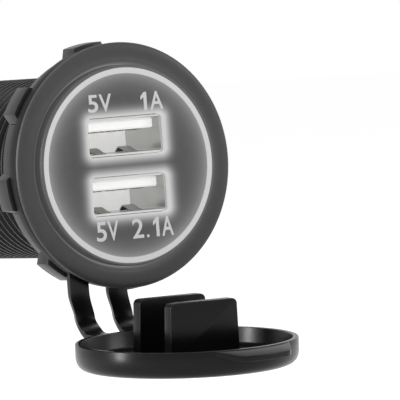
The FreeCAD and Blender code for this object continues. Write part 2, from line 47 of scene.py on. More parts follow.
# Sizes that the scene repeats from the model, in millimetres and degrees
BARREL_BORE = 12.2
BARREL_CREST = 13.85
BARREL_BACK = 40.0
THREAD_ROOT = 12.95
THREAD_PITCH = 1.75
HUB_RADIUS = 16.4
RING_FRONT = -1.85
BOSS_SEAT = -1.95           # the flange's recess that the raised boss stands in
GUIDE_INNER = 13.83
GUIDE_OUTER = 14.65
NUT_BORE = 13.95
NUT_RADIUS = 17.3
NUT_FRONT = 0.3
NUT_BACK = 3.6
LUG_COUNT = 8
LUG_FIRST_ANGLE = 99.5
LUG_ROOT = 16.6             # inside the nut's ring, where the lug is fused to it
LUG_TIP = 18.8
LUG_TIP_HALF_ANGLE = 7.3
LUG_ROOT_HALF_ANGLE = 11.4
CAP_PLACE = (0, -16.947, -26.087)
CAP_DROOP = 4.2
PLUG_PLACES = (4.295, -4.555)
PLUG_HALF_WIDTH = 6
PLUG_HALF_THICKNESS = 1.0
PLUG_FOOT = -2.9            # sunk into the dish's floor
PLUG_TOP = 6.1
TAB_ANGLE = 8.5             # from straight ahead, seen from above
TAB_ROOT_HALF_ANGLE = 26.0
TAB_TIP_HALF_ANGLE = 13.0
TAB_ROOT = 16.5
TAB_REACH = 2.3
TAB_DROP = 0.8
TAB_THICKNESS = 0.85
PORT_HEIGHTS = (4.425, -4.425)
TONGUE_UNDERSIDES = (5.345, -3.505)
CONTACT_PLACES = (-3.5, -1.0, 1.0, 3.5)
LATCH_PLACES = (-2.8, 2.8)
SHELL_HALF_HEIGHT = 2.56

# The straps, fitted to the photograph; places are the middle line's y and z
STRAP_WIDTH = 3.3
STRAP_THICKNESS = 0.85
STRAP_HALF_PITCH = 3.3      # from the middle of the pair to the middle of each strap
STRAP_STARTS = {-1: -15.2, 1: -17.2}    # the left one starts further up inside the ring
STRAP_STRAIGHT = -17.6      # a point on the straight part above the bow
STRAP_TOP = (-0.5, -18.4)   # where the bow starts
STRAP_FOOT = (-0.294, -25.293)          # where it meets the cap's rim
STRAP_SWING = 40            # how far it turns back before it turns forward
STRAP_AT_RING = -5.0        # middle of the pair at the ring
STRAP_AT_CAP = -2.25        # middle of the pair at the cap
STRAP_EASE = 7.2            # the height over which it moves from one to the other
STRAP_ON_RIM = 3.2          # how far it runs on over the rim
STRAP_TRIM = 16.1           # inside this radius that run is cut away

# How the painted glow on the face falls off, in millimetres
HALO_HALF_SIZES = (5.9, 2.2)            # the port's outline that the halo follows
HALO_EDGE = 0.75            # as bright as at the port up to here
HALO_POWER = 1.6
HALO_FADE = -1.1
INNER_FADE = -0.75
OUTER_FADE = -2.2
GUIDE_MIDDLE = 14.2         # between the glow inside the ring and the one outside

LEGEND_LEVEL = -3.99
LEGEND_THICKNESS = 0.04
POINT_HEIGHT = 0.45         # of the decimal point

# The stage
FLOOR_LEVEL = -64           # in millimetres, below the cap where it hangs lowest
FLOOR_SIZE = 8              # in metres
FLOOR_BACK = 2.5            # in metres, how far its middle lies behind the socket
FLOOR_TONE = 0.82
FLOOR_LIFT = 0.66           # added for what the camera sees, also as a reflection
SKY_LIGHT = 0.4
SKY_LIFT = 0.6              # added for what the camera sees, also as a reflection

# The camera that took the photograph, in millimetres and degrees
CAMERA_PLACE = (-428.881, -724.604, 19.612)
CAMERA_TURN = -31.46
CAMERA_FALL = 1.75
CAMERA_ROLL = -4.27
CAMERA_LENS = 504


# Working on meshes

def clear_selection():
    """Leaves edit mode with nothing selected."""
    if bpy.context.mode != "OBJECT":
        bpy.ops.object.mode_set(mode="OBJECT")
    bpy.ops.object.select_all(action="DESELECT")


def select_only(piece):
    """Selects one piece and makes it the active one."""
    clear_selection()
    piece.select_set(True)
    bpy.context.view_layer.objects.active = piece


def open_piece(piece, kind="FACE"):
    """Goes into edit mode on one piece with nothing selected."""
    select_only(piece)
    bpy.ops.object.mode_set(mode="EDIT")
    bpy.ops.mesh.select_mode(type=kind)
    bpy.ops.mesh.select_all(action="DESELECT")


def open_all(piece, kind="FACE"):
    """Goes into edit mode on one piece with all of it selected."""
    open_piece(piece, kind)
    bpy.ops.mesh.select_all(action="SELECT")


def close_piece():
    """Goes back to object mode."""
    bpy.ops.object.mode_set(mode="OBJECT")


def pick_faces(piece, wanted):
    """Selects the faces whose centre and normal, in millimetres, the test wants."""
    open_piece(piece, "FACE")
    close_piece()
    for face in piece.data.polygons:
        face.select = bool(wanted(face.center / mm, face.normal))
    bpy.ops.object.mode_set(mode="EDIT")


def pick_edges(piece, wanted):
    """Selects the edges whose middle and direction, in millimetres, the test wants."""
    open_piece(piece, "EDGE")
    close_piece()
    points = piece.data.vertices
    for edge in piece.data.edges:
        a, b = points[edge.vertices[0]].co / mm, points[edge.vertices[1]].co / mm
        edge.select = bool(wanted((a + b) / 2, (b - a).normalized()))
    bpy.ops.object.mode_set(mode="EDIT")


def settle(piece):
    """Puts the piece's place into its mesh."""
    select_only(piece)
    bpy.ops.object.transform_apply(location=True, rotation=True, scale=True)
    return piece


def finish_with(piece, kind, **values):
    """Adds a modifier and applies it."""
    select_only(piece)
    bpy.ops.object.modifier_add(type=kind)
    modifier = piece.modifiers[-1]
    for name, value in values.items():
        setattr(modifier, name, value)
    bpy.ops.object.modifier_apply(modifier=modifier.name)
    return piece


def combine(piece, operation, other):
    """Adds the other piece to this one or cuts it out of this one, and removes the other."""
    finish_with(piece, "BOOLEAN", operation=operation, solver="EXACT", operand_type="OBJECT",
                object=other)
    bpy.data.objects.remove(other)
    return piece


def soften(piece, width, steps=3, angle=32):
    """Rounds the edges that are sharper than the angle. The width is in millimetres."""
    return finish_with(piece, "BEVEL", width=width * mm, segments=steps, limit_method="ANGLE",
                       angle_limit=math.radians(angle), harden_normals=False)


def smooth(piece, angle=35):
    """Shades the piece smooth, apart from edges that are sharper than the angle."""
    select_only(piece)
    bpy.ops.object.shade_smooth_by_angle(angle=math.radians(angle))
    return piece


def face_outwards(piece, merge=0.0004):
    """Merges points that lie together and turns all faces outwards."""
    open_all(piece)
    bpy.ops.mesh.remove_doubles(threshold=merge * mm)
    bpy.ops.mesh.normals_make_consistent(inside=False)
    close_piece()
    return piece


def outline(name, points):
    """A chain of edges through the points, in millimetres."""
    clear_selection()
    first = Vector(points[0]) * mm
    bpy.ops.mesh.primitive_plane_add(size=0.001, location=first)
    piece = bpy.context.object
    piece.name = name
    settle(piece)
    open_all(piece, "VERT")
    bpy.ops.mesh.merge(type="CENTER")
    for before, after in zip(points, points[1:]):
        step = (Vector(after) - Vector(before)) * mm
        bpy.ops.mesh.extrude_region_move(TRANSFORM_OT_translate={"value": step})
    close_piece()
    return piece


def extruded(piece, step, fill=False):
    """Extrudes the whole outline along a step in millimetres. fill makes it a face first."""
    open_all(piece, "EDGE")
    if fill:
        bpy.ops.mesh.edge_face_add()
    bpy.ops.mesh.extrude_region_move(
        TRANSFORM_OT_translate={"value": [length * mm for length in step]})
    close_piece()
    return piece


def turned(name, profile, steps=192, axis="Y"):
    """A solid turned from (radius, along) points, in millimetres.

    A profile that ends on the axis stays open there.
    """
    if axis == "Y":
        points, way = [(r, along, 0) for r, along in profile], (0, 1, 0)
    else:
        points, way = [(r, 0, along) for r, along in profile], (0, 0, 1)
    on_axis = profile[0][0] == 0 and profile[-1][0] == 0
    piece = outline(name, points if on_axis else points + points[:1])
    open_all(piece, "VERT")
    bpy.ops.mesh.spin(steps=steps, angle=2 * math.pi, center=(0, 0, 0), axis=way)
    close_piece()
    return face_outwards(piece)


def box(name, low, high):
    """A box between two corners, in millimetres."""
    clear_selection()
    low, high = Vector(low) * mm, Vector(high) * mm
    bpy.ops.mesh.primitive_cube_add(size=1, location=(low + high) / 2)
    piece = bpy.context.object
    piece.name = name
    piece.dimensions = high - low
    return settle(piece)


def joined(name, pieces):
    """Several pieces as one object."""
    clear_selection()
    for piece in pieces:
        piece.select_set(True)
    bpy.context.view_layer.objects.active = pieces[0]
    bpy.ops.object.join()
    pieces[0].name = name
    return pieces[0]


def copy_of(piece, name):
    """A copy with its own mesh."""
    select_only(piece)
    bpy.ops.object.duplicate(linked=False)
    bpy.context.object.name = name
    return bpy.context.object


def turn_and_move(piece, angles, place):
    """Turns the piece about the origin, moves it and settles it. Degrees and millimetres."""
    piece.rotation_euler = [math.radians(a) for a in angles]
    piece.location = Vector(place) * mm
    return settle(piece)


def eased(share):
    """A share from 0 to 1 that starts and ends gently."""
    return share * share * (3 - 2 * share)


# Materials

def node(tree, kind, **values):
    """A shader node with its inputs or its properties set."""
    made = tree.nodes.new(kind)
    for name, value in values.items():
        if name in made.inputs:
            made.inputs[name].default_value = value
        else:
            setattr(made, name, value)
    return made


def moulded_surface():
    """Shared effect: fine moulded grain with a slow unevenness of colour and gloss."""
    group = bpy.data.node_groups.new("Moulded Surface", "ShaderNodeTree")
    for name, way, kind in [("Vector", "INPUT", "Vector"), ("Colour", "INPUT", "Color"),
                            ("Roughness", "INPUT", "Float"), ("Grain Scale", "INPUT", "Float"),
                            ("Unevenness", "INPUT", "Float"), ("Colour", "OUTPUT", "Color"),
                            ("Roughness", "OUTPUT", "Float"), ("Height", "OUTPUT", "Float")]:
        group.interface.new_socket(name, in_out=way, socket_type="NodeSocket" + kind)
    ins = group.nodes.new("NodeGroupInput")
    outs = group.nodes.new("NodeGroupOutput")
    grain = node(group, "ShaderNodeTexNoise", Detail=3.0, Roughness=0.6)
    slow = node(group, "ShaderNodeTexNoise", Scale=90.0, Detail=2.0)
    link = group.links.new
    link(ins.outputs["Vector"], grain.inputs["Vector"])
    link(ins.outputs["Vector"], slow.inputs["Vector"])
    link(ins.outputs["Grain Scale"], grain.inputs["Scale"])
    # the two noises add up to 1 on average, so 1 is taken off before the swing is set
    mixed = node(group, "ShaderNodeMath", operation="ADD")
    link(grain.outputs["Fac"], mixed.inputs[0])
    link(slow.outputs["Fac"], mixed.inputs[1])
    centred = node(group, "ShaderNodeMath", operation="SUBTRACT")
    centred.inputs[1].default_value = 1.0
    link(mixed.outputs[0], centred.inputs[0])
    swing = node(group, "ShaderNodeMath", operation="MULTIPLY_ADD")
    swing.inputs[2].default_value = 1.0
    link(centred.outputs[0], swing.inputs[0])
    link(ins.outputs["Unevenness"], swing.inputs[1])
    tint = node(group, "ShaderNodeVectorMath", operation="SCALE")
    link(ins.outputs["Colour"], tint.inputs[0])
    link(swing.outputs[0], tint.inputs["Scale"])
    gloss = node(group, "ShaderNodeMath", operation="MULTIPLY", use_clamp=True)
    link(ins.outputs["Roughness"], gloss.inputs[0])
    link(swing.outputs[0], gloss.inputs[1])
    link(tint.outputs[0], outs.inputs["Colour"])
    link(gloss.outputs[0], outs.inputs["Roughness"])
    link(grain.outputs["Fac"], outs.inputs["Height"])
    return group


MOULDED = moulded_surface()


def finish(name, colour, roughness, grain=900.0, unevenness=0.25, depth=0.004, metallic=0.0,
           specular=0.5):
    """A material with the moulded grain in it. depth is the height of the grain in millimetres."""
    material = bpy.data.materials.new(name)
    material.use_nodes = True
    tree = material.node_tree
    shader = tree.nodes["Principled BSDF"]
    shader.inputs["Metallic"].default_value = metallic
    shader.inputs["Specular IOR Level"].default_value = specular
    places = node(tree, "ShaderNodeTexCoord")
    surface = node(tree, "ShaderNodeGroup", node_tree=MOULDED)
    surface.inputs["Colour"].default_value = (*colour, 1)
    surface.inputs["Roughness"].default_value = roughness
    surface.inputs["Grain Scale"].default_value = grain
    surface.inputs["Unevenness"].default_value = unevenness
    bump = node(tree, "ShaderNodeBump", Strength=0.6, Distance=depth * mm)
    link = tree.links.new
    link(places.outputs["Object"], surface.inputs["Vector"])
    link(surface.outputs["Colour"], shader.inputs["Base Color"])
    link(surface.outputs["Roughness"], shader.inputs["Roughness"])
    link(surface.outputs["Height"], bump.inputs["Height"])
    link(bump.outputs["Normal"], shader.inputs["Normal"])
    return material


def sums(tree, operation, first, second=None, third=None):
    """One math node; each input is a socket or a number."""
    made = node(tree, "ShaderNodeMath", operation=operation)
    for socket, value in zip(made.inputs, (first, second, third)):
        if value is None:
            continue
        if isinstance(value, (int, float)):
            socket.default_value = value
        else:
            tree.links.new(value, socket)
    return made.outputs[0]


def distance(tree, across, up):
    """How far a place lies from the middle, from its two coordinates."""
    return sums(tree, "SQRT", sums(tree, "ADD", sums(tree, "POWER", across, 2.0),
                                   sums(tree, "POWER", up, 2.0)))


def beyond(tree, value, limit):
    """By how much the value is over the limit, or 0."""
    return sums(tree, "MAXIMUM", sums(tree, "SUBTRACT", value, limit), 0.0)


def fading(tree, reach, rate):
    """Light that is 1 at no distance and fades with it."""
    return sums(tree, "EXPONENT", sums(tree, "MULTIPLY", reach, rate))


def seen_directly(tree):
    """1 for rays from the camera, also by way of gloss or glass, and 0 for others."""
    light = node(tree, "ShaderNodeLightPath")
    return sums(tree, "MAXIMUM", light.outputs["Is Camera Ray"],
                sums(tree, "MAXIMUM", light.outputs["Is Glossy Ray"],
                     light.outputs["Is Transmission Ray"]))


def give_off(tree, shader, level):
    """Grey light from the surface, as strong as the socket says."""
    colour = node(tree, "ShaderNodeCombineColor")
    for socket in colour.inputs[:3]:
        tree.links.new(level, socket)
    tree.links.new(colour.outputs[0], shader.inputs["Emission Color"])
    shader.inputs["Emission Strength"].default_value = 1.0


def painted_face_glow(material, port_glow, ring_inside, ring_outside):
    """Painted glow given off by the face: round the two ports and along the light ring."""
    tree = material.node_tree
    places = node(tree, "ShaderNodeTexCoord")
    apart = node(tree, "ShaderNodeSeparateXYZ")
    tree.links.new(places.outputs["Object"], apart.inputs[0])
    x = sums(tree, "DIVIDE", apart.outputs[0], mm)
    z = sums(tree, "DIVIDE", apart.outputs[2], mm)
    # the two ports are mirrored into one
    level = sums(tree, "SUBTRACT", sums(tree, "ABSOLUTE", z), PORT_HEIGHTS[0])
    out_x = beyond(tree, sums(tree, "ABSOLUTE", x), HALO_HALF_SIZES[0])
    out_z = beyond(tree, sums(tree, "ABSOLUTE", level), HALO_HALF_SIZES[1])
    reach = beyond(tree, distance(tree, out_x, out_z), HALO_EDGE)
    halo = fading(tree, sums(tree, "POWER", reach, HALO_POWER), HALO_FADE)
    radius = distance(tree, x, z)
    inner_glow = fading(tree, beyond(tree, GUIDE_INNER, radius), INNER_FADE)
    outer_glow = fading(tree, beyond(tree, radius, GUIDE_OUTER), OUTER_FADE)
    is_outside = sums(tree, "GREATER_THAN", radius, GUIDE_MIDDLE)
    inner = sums(tree, "MULTIPLY", sums(tree, "MULTIPLY", inner_glow, ring_inside),
                 sums(tree, "SUBTRACT", 1.0, is_outside))
    outer = sums(tree, "MULTIPLY", sums(tree, "MULTIPLY", outer_glow, ring_outside), is_outside)
    total = sums(tree, "ADD", sums(tree, "MULTIPLY", halo, port_glow),
                 sums(tree, "ADD", inner, outer))
    # the halos and ring glows are given off as painted light
    give_off(tree, tree.nodes["Principled BSDF"], total)
    return material


def glowing(material, level):
    """An even glow over the whole surface: painted light, except on a part that is itself a lamp.
    """
    shader = material.node_tree.nodes["Principled BSDF"]
    shader.inputs["Emission Color"].default_value = (level, level, level, 1)
    shader.inputs["Emission Strength"].default_value = 1.0
    return material


# Painted glow: the housing's flange gives off light just outside the light ring
satin_black_painted_glow = painted_face_glow(finish("Satin Black Plastic", (0.055, 0.055, 0.056), 0.42, specular=0.25),
                       0.0, 0.0, 0.6)
# A much darker copy of the housing's black: painted shade on the barrel and thread behind the
# flange
barrel_black_painted_shade = finish("Threaded Barrel Plastic", (0.006, 0.006, 0.0062), 0.3, specular=0.16)
nut_black = finish("Nut Plastic", (0.014, 0.014, 0.0145), 0.38, specular=0.3, depth=0.006)
soft_rubber = finish("Soft Black Rubber", (0.0035, 0.0035, 0.0037), 0.26, grain=1400.0,
                     specular=0.16)
ring_rubber = finish("Ring Rubber", (0.006, 0.006, 0.0062), 0.5, grain=1400.0, specular=0.13)
strap_rubber = finish("Strap Rubber", (0.005, 0.005, 0.0053), 0.32, grain=1400.0, specular=0.3)
# Painted glow: halos round the two ports and a glow inside the light ring
face_black_painted_glow = painted_face_glow(finish("Lit Face Plate", (0.075, 0.075, 0.077), 0.3, specular=0.3,
                             depth=0.001), 0.55, 0.2, 0.0)
# Painted glow on the boss rim just outside the light ring
frame_black_painted_glow = painted_face_glow(finish("Boss Rim", (0.05, 0.05, 0.052), 0.4, specular=0.3), 0.0, 0.0,
                       0.09)
ring_light = glowing(finish("Light Ring", (0.4, 0.4, 0.4), 0.35, unevenness=0.04, depth=0.0005),
                     0.27)
# The casing gives off a faint painted glow, lighting up the ports
shell_metal_painted_glow = glowing(finish("Nickel Casing", (0.5, 0.5, 0.49), 0.3, grain=300.0, metallic=1.0,
                             unevenness=0.2, depth=0.0006), 0.03)
latch_steel = finish("Latch Spring", (0.42, 0.42, 0.42), 0.35, metallic=1.0, unevenness=0.2,
                     depth=0.0006)
# The insulator gives off painted light, brightening the ports
tongue_white_painted_glow = glowing(finish("White Insulator", (0.8, 0.8, 0.79), 0.45, unevenness=0.04,
                              depth=0.001), 0.4)
contact_gold = finish("Gold Contact", (0.3, 0.25, 0.15), 0.35, metallic=1.0, unevenness=0.1,
                      depth=0.0004)
board_green = finish("Solder Mask", (0.03, 0.16, 0.07), 0.3, grain=400.0, depth=0.001)
chip_grey = finish("Moulded Chip", (0.03, 0.03, 0.031), 0.5)
ferrite_grey = finish("Ferrite", (0.07, 0.07, 0.072), 0.6, grain=1800.0)
can_metal = finish("Rolled Can", (0.7, 0.7, 0.71), 0.25, metallic=1.0, unevenness=0.08)
ceramic_tan = finish("Fired Ceramic", (0.42, 0.31, 0.19), 0.5)
lamp_white = glowing(finish("Lamp Chip", (0.85, 0.85, 0.8), 0.35), 0.6)
blade_metal = finish("Tinned Blade", (0.46, 0.45, 0.42), 0.32, grain=500.0, metallic=1.0,
                     unevenness=0.15, depth=0.0006)
# The print gives off painted light
legend_white_painted_glow = glowing(finish("Legend Print", (0.35, 0.35, 0.35), 0.5, unevenness=0.05,
                              depth=0.0005), 0.26)


def paint(piece, material):
    """Gives the whole piece one material."""
    piece.data.materials.clear()
    piece.data.materials.append(material)
    return piece


# Housing and thread

housing = turned("housing_body", [
    (BARREL_BORE, BOSS_SEAT), (15.4, BOSS_SEAT), (15.4, -2.56), (15.55, -2.7), (15.78, -2.84),
    (16.05, -2.9), (17.3, -2.9), (17.75, -2.87), (18.1, -2.79), (18.36, -2.65), (18.48, -2.48),
    (18.5, -2.38), (18.5, -2.26), (18.44, -2.16), (18.15, RING_FRONT), (HUB_RADIUS, RING_FRONT),
    (HUB_RADIUS, -0.1), (THREAD_ROOT, -0.1), (THREAD_ROOT, 38.7), (THREAD_ROOT - 0.1, 39.2),
    (12.5, 39.9), (12.4, BARREL_BACK), (BARREL_BORE, BARREL_BACK), (BARREL_BORE, 20.0)],
    steps=256)
smooth(housing, 25)
paint(housing, satin_black_painted_glow)
housing.data.materials.append(barrel_black_painted_shade)
# behind the hub the barrel gets a much darker copy of the housing's black, painted shade
for face in housing.data.polygons:
    face.material_index = 1 if face.center.y > -0.05 * mm else 0


def barrel_thread():
    """One ridge run round the barrel from behind the hub to the rear chamfer."""
    flank = [(THREAD_ROOT - 0.1, 0.66), (13.2, 0.5), (13.74, 0.24), (BARREL_CREST, 0.12)]
    ridge = [(r, -along) for r, along in flank] + flank[::-1]
    start, turns, steps = 0.75, 21, 96
    piece = outline("barrel_thread", [(r, along + start, 0) for r, along in ridge + ridge[:1]])
    face_outwards(piece)
    finish_with(piece, "SCREW", axis="Y", angle=2 * math.pi, screw_offset=THREAD_PITCH * mm,
                iterations=turns, steps=steps, render_steps=steps, use_normal_calculate=True)
    # each end is closed, and drawn in so that the ridge runs out into the root
    near, draw_in, run_out = 0.67, 0.935, 22
    for end in (start, start + turns * THREAD_PITCH):
        pick_edges(piece, lambda middle, way: abs(middle.y - end) < near
                   and middle.x > 0 and abs(middle.z) < 0.001)
        bpy.ops.mesh.edge_face_add()
        bpy.ops.transform.resize(value=(draw_in, 1, draw_in), center_override=(0, 0, 0),
                                 use_proportional_edit=True, use_proportional_connected=True,
                                 proportional_edit_falloff="SMOOTH",
                                 proportional_size=run_out * mm)
        close_piece()
    face_outwards(piece)
    return smooth(piece, 50)


thread = paint(barrel_thread(), barrel_black_painted_shade)

rubber_ring = turned("rubber_ring", [
    (HUB_RADIUS, RING_FRONT), (18.06, RING_FRONT), (18.2, -1.82), (18.31, -1.73),
    (18.35, -1.58), (18.35, -0.15), (18.3, -0.05), (18.2, 0.0), (HUB_RADIUS, 0.0)], steps=256)
paint(smooth(rubber_ring, 40), ring_rubber)

boss_rim = turned("boss_rim", [
    (GUIDE_OUTER, -3.97), (14.69, -4.0), (14.9, -4.0), (15.02, -3.97), (15.08, -3.9),
    (15.1, -3.8), (15.1, BOSS_SEAT), (GUIDE_OUTER, BOSS_SEAT)], steps=256)
paint(smooth(boss_rim, 40), frame_black_painted_glow)


# Ring nut

def nut_lug():
    """One lug on +X: a short arc at the tip, with flanks that spread towards the root."""
    steps = 8
    half = LUG_TIP_HALF_ANGLE
    tip = [math.radians(-half + 2 * half * index / steps) for index in range(steps + 1)]
    root = math.radians(LUG_ROOT_HALF_ANGLE)
    points = [(LUG_TIP * math.cos(a), NUT_FRONT, LUG_TIP * math.sin(a)) for a in tip]
    points += [(LUG_ROOT * math.cos(a), NUT_FRONT, LUG_ROOT * math.sin(a))
               for a in (root, -root)]
    lug = face_outwards(outline("lug", points + points[:1]))
    return face_outwards(extruded(lug, (0, NUT_BACK - NUT_FRONT, 0), fill=True))


def ring_nut():
    """Flat ring with eight lugs, all edges softened."""
    nut = turned("nut_ring", [(NUT_BORE, NUT_FRONT), (NUT_RADIUS, NUT_FRONT),
                              (NUT_RADIUS, NUT_BACK), (NUT_BORE, NUT_BACK)], steps=192)
    pattern = nut_lug()
    lugs = [copy_of(pattern, "lug_%d" % index) for index in range(LUG_COUNT)]
    bpy.data.objects.remove(pattern)
    for index, lug in enumerate(lugs):
        angle = LUG_FIRST_ANGLE + 360 / LUG_COUNT * index
        turn_and_move(lug, (0, -angle, 0), (0, 0, 0))
    for lug in lugs:
        combine(nut, "UNION", lug)
    nut.name = "lugged_nut"
    face_outwards(nut, merge=0.002)
    soften(nut, 0.22, steps=2, angle=40)
    return smooth(nut, 40)


nut = paint(ring_nut(), nut_black)


# Legends on the face

def letter(sign):
    """One flat letter lying in XY. The figure one has a flag, drawn as its own outline."""
    if sign == "1":
        flag = [(0.3, 0), (0.62, 0), (0.62, 1.4), (0.36, 1.4), (0, 1.08), (0, 0.8), (0.3, 1.02)]
        piece = outline("figure_one", [(x, y, 0) for x, y in flag + flag[:1]])
        face_outwards(piece)
        return face_outwards(extruded(piece, (0, 0, LEGEND_THICKNESS), fill=True))
    clear_selection()
    bpy.ops.object.text_add(location=(0, 0, 0))
    text = bpy.context.object
    text.data.body = sign
    text.data.size = 3 * mm
    text.data.offset = 0.045 * mm
    text.data.extrude = LEGEND_THICKNESS / 2 * mm
    bpy.ops.object.convert(target="MESH")
    return face_outwards(bpy.context.object, merge=0.002)


def legend(name, signs, bottom, top):
    """Printed rating on the face. Each sign is fitted between its own left and right."""
    pieces = []
    for sign, left, right in signs:
        piece = letter(sign)
        xs = [v.co.x for v in piece.data.vertices]
        ys = [v.co.y for v in piece.data.vertices]
        height = POINT_HEIGHT if sign == "." else top - bottom
        open_all(piece, "VERT")
        bpy.ops.transform.translate(value=(-min(xs), -min(ys), 0))
        bpy.ops.transform.resize(value=((right - left) * mm / (max(xs) - min(xs)),
                                        height * mm / (max(ys) - min(ys)), 1),
                                 center_override=(0, 0, 0))
        close_piece()
        pieces.append(turn_and_move(piece, (90, 0, 0), (left, LEGEND_LEVEL, bottom)))
    return paint(joined(name, pieces), legend_white_painted_glow)


legends = [
    legend("rating_volts_upper", [("5", -6.3, -4.55), ("V", -4.35, -2.2)], 8.25, 10.9),
    legend("rating_amps_upper", [("1", 2.9, 3.95), ("A", 4.5, 6.8)], 8.0, 10.75),
    legend("rating_volts_lower", [("5", -6.45, -4.7), ("V", -4.5, -2.6)], -11.05, -8.1),
    legend("rating_amps_lower", [("2", -0.2, 1.75), (".", 2.25, 2.7), ("1", 3.45, 4.5),
                                 ("A", 4.95, 7.0)], -11.05, -8.1)]


# Springs in the ports

def bent_strip(name, middle_x, width, thickness, path):
    """A sprung metal strip along Y, bent as the (along, height) points say."""
    piece = outline(name, [(middle_x - width / 2, y, z) for y, z in path])
    extruded(piece, (width, 0, 0))
    finish_with(piece, "SOLIDIFY", thickness=thickness * mm, offset=0, use_even_offset=True)
    return smooth(face_outwards(piece), 40)


def contact_springs(name, underside):
    """The four contacts bow down out of the tongue, just clear of the cap's plugs."""
    bow = [(-1.7, 0.04), (-1.3, -0.06), (-0.6, -0.15), (0.1, -0.2), (0.8, -0.2), (1.8, -0.16),
           (3.2, -0.06), (4.2, 0.04)]
    path = [(y, underside + z) for y, z in bow]
    return paint(joined(name, [bent_strip("contact", x, 1.0, 0.1, path)
                               for x in CONTACT_PLACES]), contact_gold)


def latch_springs(name, height):
    """Two latches of the shell's lower wall, sprung up into the port."""
    bow = [(-1.1, -0.1), (0.2, 0.25), (1.4, 0.75), (2.0, 0.85), (2.5, 0.55), (2.9, 0.15)]
    path = [(y, height - SHELL_HALF_HEIGHT + z) for y, z in bow]
    return paint(joined(name, [bent_strip("latch", x, 1.8, 0.2, path)
                               for x in LATCH_PLACES]), latch_steel)


springs = [contact_springs("contact_springs_upper", TONGUE_UNDERSIDES[0]),
           contact_springs("contact_springs_lower", TONGUE_UNDERSIDES[1]),
           latch_springs("latch_springs_upper", PORT_HEIGHTS[0]),
           latch_springs("latch_springs_lower", PORT_HEIGHTS[1])]


# Cap, in its own frame with Z up out of the dish

def cap_dish():
    """Round dish with a rolled lower edge and a soft rim."""
    dish = turned("dust_cap", [
        (0, -4.0), (14.6, -4.0), (15.25, -3.93), (15.8, -3.7), (16.2, -3.32), (16.45, -2.8),
        (16.56, -2.2), (16.57, -1.6), (16.57, -0.16), (16.53, -0.05), (16.42, 0.0), (15.86, 0.0),
        (15.74, -0.05), (15.7, -0.16), (15.6, -2.2), (15.45, -2.5), (15.1, -2.7), (0, -2.7)],
        steps=256, axis="Z")
    return smooth(dish, 35)


def port_plug(name, forward):
    """Flat plug that closes one port, a little narrower and with rounded corners at its end."""
    plug = box(name, (-PLUG_HALF_WIDTH, -forward - PLUG_HALF_THICKNESS, PLUG_FOOT),
               (PLUG_HALF_WIDTH, -forward + PLUG_HALF_THICKNESS, PLUG_TOP))
    pick_faces(plug, lambda centre, normal: normal.z > 0.9)
    bpy.ops.transform.resize(value=(0.95, 1, 1), center_override=(0, -forward * mm, 0))
    close_piece()
    pick_edges(plug, lambda middle, way: middle.z > PLUG_TOP - 0.1 and abs(way.y) > 0.9)
    bpy.ops.mesh.bevel(offset=0.75 * mm, segments=6, affect="EDGES")
    close_piece()
    soften(plug, 0.16, angle=60)
    return smooth(plug, 40)


def thumb_tab():
    """Thin crescent lip on the front of the rim, sloping down."""
    steps = 28
    inside, skin = 16.3, 0.04       # where its root is buried, and how far under the rim it starts
    corners = []
    for index in range(steps + 1):
        share = -1 + 2 * index / steps
        angle = math.radians(TAB_ANGLE + TAB_ROOT_HALF_ANGLE * share)
        edge = min(1.0, (1 - abs(share)) / (1 - TAB_TIP_HALF_ANGLE / TAB_ROOT_HALF_ANGLE))
        edge = eased(edge) * 0.25 + edge * 0.75
        corners.append((angle, TAB_ROOT + TAB_REACH * edge, -TAB_DROP * edge))
    lip = outline("thumb_tab", [(r * math.sin(a), -r * math.cos(a), z - skin)
                                for a, r, z in corners])
    root_line = outline("tab_root", [(inside * math.sin(a), -inside * math.cos(a), -skin)
                                     for a, r, z in corners])
    piece = joined("thumb_tab", [lip, root_line])
    open_all(piece, "EDGE")
    bpy.ops.mesh.bridge_edge_loops()
    close_piece()
    # the sheet is given its thickness downwards
    extruded(piece, (0, 0, -TAB_THICKNESS))
    face_outwards(piece)
    soften(piece, 0.14, angle=50)
    return smooth(piece, 40)


def hang(piece):
    """Moves a piece from the cap's own frame to the open cap's place."""
    return turn_and_move(piece, (CAP_DROOP, 0, 0), CAP_PLACE)


cap = hang(joined("dust_cap", [cap_dish(), port_plug("upper_plug", PLUG_PLACES[0]),
                               port_plug("lower_plug", PLUG_PLACES[1]), thumb_tab()]))
paint(cap, soft_rubber)


# Straps

def strap_path(side):
    """The strap's middle line in its side view, as (y, z) points from the ring to the rim."""
    swing = math.radians(STRAP_SWING)
    droop = math.radians(CAP_DROOP)
    end = -math.radians(90 - CAP_DROOP)
    top, foot = STRAP_TOP, STRAP_FOOT
    # two radii that bring the strap from the ring's plane to the rim's, heading forward
    run, fall = foot[0] - top[0], top[1] - foot[1]
    back_run, forward_run = 1 - math.cos(swing), math.cos(swing) - math.cos(end)
    back_fall, forward_fall = math.sin(swing), math.sin(swing) - math.sin(end)
    bend_forward = ((fall * back_run - run * back_fall)
                    / (forward_fall * back_run + forward_run * back_fall))
    bend_back = (run + bend_forward * forward_run) / back_run
    back_steps, forward_steps = 12, 18
    path = [(top[0], STRAP_STARTS[side]), (top[0], STRAP_STRAIGHT)]
    for index in range(back_steps + 1):
        angle = swing * index / back_steps
        path.append((top[0] + bend_back * (1 - math.cos(angle)),
                     top[1] - bend_back * math.sin(angle)))
    corner = path[-1]
    centre = (corner[0] - bend_forward * math.cos(swing),
              corner[1] - bend_forward * math.sin(swing))
    for index in range(1, forward_steps + 1):
        angle = swing + (end - swing) * index / forward_steps
        path.append((centre[0] + bend_forward * math.cos(angle),
                     centre[1] + bend_forward * math.sin(angle)))
    # on over the rim; what reaches past it is trimmed to its round later
    path.append((foot[0] - STRAP_ON_RIM * math.cos(droop),
                 foot[1] - STRAP_ON_RIM * math.sin(droop)))
    return path


